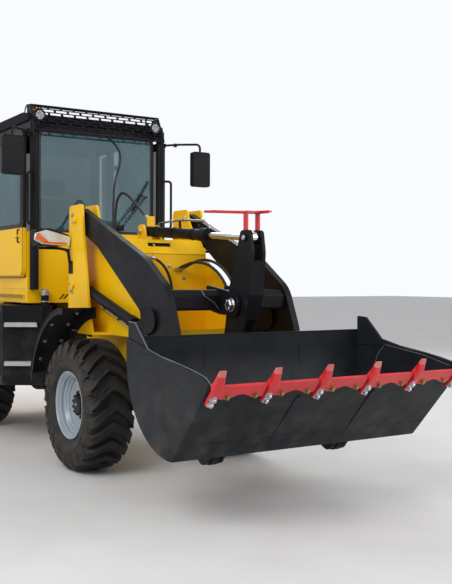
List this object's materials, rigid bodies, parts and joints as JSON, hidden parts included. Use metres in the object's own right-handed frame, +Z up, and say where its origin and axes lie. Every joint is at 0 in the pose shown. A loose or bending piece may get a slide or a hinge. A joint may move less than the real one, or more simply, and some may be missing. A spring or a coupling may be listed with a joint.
{
  "type": "articulated backhoe loader",
  "caption": "Articulated wheel loader with a front bucket, an enclosed cab and a rear backhoe with two stabiliser legs.",
  "frame": {"origin": "on the ground under the middle of the whole machine's outline", "axes": "+X towards the front bucket, +Y to the machine's left, +Z up"},
  "size_m": [7.5106, 2.16, 3.3149],
  "materials": {
    "black_paint": "satin paint",
    "black_plastic": "grained plastic",
    "bucket_paint": "satin paint",
    "chrome_rod": "ground and chromed",
    "dark_steel": "cast, painted black",
    "hose_rubber": "hose cover",
    "lamp_lens": "clear lens",
    "red_paint": "gloss paint",
    "seat_fabric": "woven cover",
    "silver_paint": "satin paint",
    "tinted_glass": "tinted safety glass",
    "tyre_rubber": "dusty rubber",
    "yellow_paint": "gloss paint"
  },
  "bodies": {
    "rear_frame": {"rear_chassis": "black_paint", "rear_axle": "dark_steel", "engine_block": "dark_steel", "side_tanks": "black_paint", "rear_fenders": "black_paint", "rear_hood": "yellow_paint", "cab_frame": "black_paint", "cab_panels": "yellow_paint", "cab_roof": "black_paint", "roof_visor": "black_paint", "cab_glass": "tinted_glass", "cab_fittings": "black_plastic", "mirrors": "black_plastic", "backhoe_carrier": "yellow_paint"},
    "front_frame": {"front_frame": "yellow_paint", "loader_towers": "yellow_paint", "front_axle": "dark_steel", "front_fenders": "black_paint", "headlamps": "lamp_lens", "hose_arch": "hose_rubber", "hoses_down": "hose_rubber", "hoses_over": "hose_rubber"},
    "loader_boom": {"loader_boom": "black_paint"},
    "lift_barrels": {"lift_barrels": "black_paint"},
    "lift_rods": {"lift_rods": "chrome_rod"},
    "loader_bucket": {"loader_bucket": "bucket_paint", "cutting_edge": "red_paint"},
    "rocker": {"rocker": "black_paint", "level_rod": "red_paint"},
    "tilt_link": {"tilt_link": "black_paint"},
    "tilt_barrel": {"tilt_barrel": "black_paint"},
    "tilt_rod": {"tilt_rod": "chrome_rod"},
    "door_left": {"door_left": "yellow_paint", "door_glass_left": "tinted_glass"},
    "door_right": {"door_right": "yellow_paint", "door_glass_right": "tinted_glass"},
    "seat": {"seat_pan": "black_paint", "seat_cushions": "seat_fabric"},
    "swing_post": {"swing_post": "yellow_paint"},
    "hoe_boom": {"hoe_boom": "yellow_paint"},
    "boom_ram_barrel": {"boom_ram_barrel": "black_paint"},
    "boom_ram_rod": {"boom_ram_rod": "chrome_rod"},
    "dipper": {"dipper": "yellow_paint"},
    "dipper_ram_barrel": {"dipper_ram_barrel": "black_paint"},
    "dipper_ram_rod": {"dipper_ram_rod": "chrome_rod"},
    "hoe_bucket": {"hoe_bucket": "black_paint"},
    "tipping_levers": {"tipping_levers": "black_paint"},
    "bucket_link": {"bucket_link": "black_paint"},
    "bucket_ram_barrel": {"bucket_ram_barrel": "black_paint"},
    "bucket_ram_rod": {"bucket_ram_rod": "chrome_rod"},
    "stabiliser_left": {"stabiliser_leg_left": "yellow_paint"},
    "stabiliser_right": {"stabiliser_leg_right": "yellow_paint"},
    "wheel_front_left": {"tyre_front_left": "tyre_rubber", "rim_front_left": "silver_paint"},
    "wheel_front_right": {"tyre_front_right": "tyre_rubber", "rim_front_right": "silver_paint"},
    "wheel_rear_left": {"tyre_rear_left": "tyre_rubber", "rim_rear_left": "silver_paint"},
    "wheel_rear_right": {"tyre_rear_right": "tyre_rubber", "rim_rear_right": "silver_paint"}
  },
  "joints": [
    {"name": "articulation", "type": "hinge", "parent": "rear_frame", "child": "front_frame", "pos_m": [-0.16125, 0, 0.85], "axis": [0, 0, 1], "range_deg": [-35, 35]},
    {"name": "wheel_front_left", "type": "hinge", "parent": "front_frame", "child": "wheel_front_left", "pos_m": [1.21375, 0.69, 0.5375], "axis": [0, 1, 0], "continuous": true},
    {"name": "wheel_front_right", "type": "hinge", "parent": "front_frame", "child": "wheel_front_right", "pos_m": [1.21375, -0.69, 0.5375], "axis": [0, 1, 0], "continuous": true},
    {"name": "wheel_rear_left", "type": "hinge", "parent": "rear_frame", "child": "wheel_rear_left", "pos_m": [-1.53625, 0.69, 0.5375], "axis": [0, 1, 0], "continuous": true},
    {"name": "wheel_rear_right", "type": "hinge", "parent": "rear_frame", "child": "wheel_rear_right", "pos_m": [-1.53625, -0.69, 0.5375], "axis": [0, 1, 0], "continuous": true},
    {"name": "loader_lift", "type": "hinge", "parent": "front_frame", "child": "loader_boom", "pos_m": [0.75375, 0, 2.075], "axis": [0, -1, 0], "range_deg": [-5, 60]},
    {"name": "lift_barrel_turn", "type": "hinge", "parent": "front_frame", "child": "lift_barrels", "pos_m": [0.71375, 0, 1.512], "axis": [0, -1, 0], "range_deg": [-5.6, 56.23]},
    {"name": "lift_rod_slide", "type": "slide", "parent": "lift_barrels", "child": "lift_rods", "axis": [0.9624, 0, -0.2716], "range_m": [-0.05368, 0.58912]},
    {"name": "loader_tilt", "type": "hinge", "parent": "loader_boom", "child": "loader_bucket", "pos_m": [2.89375, 0, 0.385], "axis": [0, 1, 0], "range_deg": [0, 88]},
    {"name": "rocker_turn", "type": "hinge", "parent": "loader_boom", "child": "rocker", "pos_m": [2.47575, 0, 1.375], "axis": [0, -1, 0], "range_deg": [-1, 35.51]},
    {"name": "tilt_link_turn", "type": "hinge", "parent": "rocker", "child": "tilt_link", "pos_m": [2.30875, 0, 0.935], "axis": [0, -1, 0], "range_deg": [-20.82, 1]},
    {"name": "tilt_barrel_turn", "type": "hinge", "parent": "front_frame", "child": "tilt_barrel", "pos_m": [0.97375, 0, 1.985], "axis": [0, -1, 0], "range_deg": [-6.48, 66.75]},
    {"name": "tilt_rod_slide", "type": "slide", "parent": "tilt_barrel", "child": "tilt_rod", "axis": [0.9974, 0, -0.072], "range_m": [-0.30613, 0.005]},
    {"name": "door_left", "type": "hinge", "parent": "rear_frame", "child": "door_left", "pos_m": [-1.17425, 0.769, 2.2], "axis": [0, 0, 1], "range_deg": [0, 95]},
    {"name": "door_right", "type": "hinge", "parent": "rear_frame", "child": "door_right", "pos_m": [-1.17425, -0.769, 2.2], "axis": [0, 0, -1], "range_deg": [0, 95]},
    {"name": "seat_swivel", "type": "hinge", "parent": "rear_frame", "child": "seat", "pos_m": [-1.04625, 0, 1.8], "axis": [0, 0, 1], "range_deg": [0, 180]},
    {"name": "hoe_swing", "type": "hinge", "parent": "rear_frame", "child": "swing_post", "pos_m": [-2.64625, 0, 0.85], "axis": [0, 0, 1], "range_deg": [-85, 85]},
    {"name": "hoe_boom", "type": "hinge", "parent": "swing_post", "child": "hoe_boom", "pos_m": [-2.96625, 0, 0.7], "axis": [0, -1, 0], "range_deg": [0, 115]},
    {"name": "boom_ram_turn", "type": "hinge", "parent": "swing_post", "child": "boom_ram_barrel", "pos_m": [-2.80181, 0, 0.88887], "axis": [0, -1, 0], "range_deg": [-1, 118.36]},
    {"name": "boom_ram_slide", "type": "slide", "parent": "boom_ram_barrel", "child": "boom_ram_rod", "axis": [0.2683, 0, 0.9633], "range_m": [-0.005, 0.42531]},
    {"name": "dipper", "type": "hinge", "parent": "hoe_boom", "child": "dipper", "pos_m": [-2.51382, 0, 3.00604], "axis": [0, 1, 0], "range_deg": [0, 110]},
    {"name": "dipper_ram_turn", "type": "hinge", "parent": "hoe_boom", "child": "dipper_ram_barrel", "pos_m": [-2.49586, 0, 1.85097], "axis": [0, -1, 0], "range_deg": [-10.35, 1]},
    {"name": "dipper_ram_slide", "type": "slide", "parent": "dipper_ram_barrel", "child": "dipper_ram_rod", "axis": [0.0969, 0, 0.9953], "range_m": [-0.47063, 0.005]},
    {"name": "hoe_bucket", "type": "hinge", "parent": "dipper", "child": "hoe_bucket", "pos_m": [-3.57633, 0, 1.94723], "axis": [0, 1, 0], "range_deg": [0, 120]},
    {"name": "tipping_lever_turn", "type": "hinge", "parent": "dipper", "child": "tipping_levers", "pos_m": [-3.40626, 0, 2.15907], "axis": [0, 1, 0], "range_deg": [-1, 75.55]},
    {"name": "bucket_link_turn", "type": "hinge", "parent": "tipping_levers", "child": "bucket_link", "pos_m": [-3.71335, 0, 2.03826], "axis": [0, 1, 0], "range_deg": [-34.66, 1]},
    {"name": "bucket_ram_turn", "type": "hinge", "parent": "dipper", "child": "bucket_ram_barrel", "pos_m": [-2.86044, 0, 2.92886], "axis": [0, 1, 0], "range_deg": [-1, 15.08]},
    {"name": "bucket_ram_slide", "type": "slide", "parent": "bucket_ram_barrel", "child": "bucket_ram_rod", "axis": [-0.6917, 0, -0.7222], "range_m": [-0.30869, 0.005]},
    {"name": "stabiliser_left", "type": "slide", "parent": "rear_frame", "child": "stabiliser_left", "axis": [0, 0, -1], "range_m": [0, 0.42]},
    {"name": "stabiliser_right", "type": "slide", "parent": "rear_frame", "child": "stabiliser_right", "axis": [0, 0, -1], "range_m": [0, 0.42]}
  ],
  "couplings": [
    {"joint": "lift_barrel_turn", "follows": "loader_lift", "ratio": 0.92046},
    {"joint": "lift_rod_slide", "follows": "loader_lift", "m_per_rad": 0.55779},
    {"joint": "rocker_turn", "follows": "loader_tilt", "ratio": 0.39219},
    {"joint": "tilt_link_turn", "follows": "loader_tilt", "ratio": -0.22527},
    {"joint": "tilt_barrel_turn", "follows": "loader_lift", "ratio": 1.0959},
    {"joint": "tilt_rod_slide", "follows": "loader_tilt", "m_per_rad": -0.19606},
    {"joint": "boom_ram_turn", "follows": "hoe_boom", "ratio": 1.0205},
    {"joint": "boom_ram_slide", "follows": "hoe_boom", "m_per_rad": 0.20941},
    {"joint": "dipper_ram_turn", "follows": "dipper", "ratio": -0.084975},
    {"joint": "dipper_ram_slide", "follows": "dipper", "m_per_rad": -0.24253},
    {"joint": "tipping_lever_turn", "follows": "hoe_bucket", "ratio": 0.62125},
    {"joint": "bucket_link_turn", "follows": "hoe_bucket", "ratio": -0.28051},
    {"joint": "bucket_ram_turn", "follows": "hoe_bucket", "ratio": 0.11734},
    {"joint": "bucket_ram_slide", "follows": "hoe_bucket", "m_per_rad": -0.145}
  ]
}
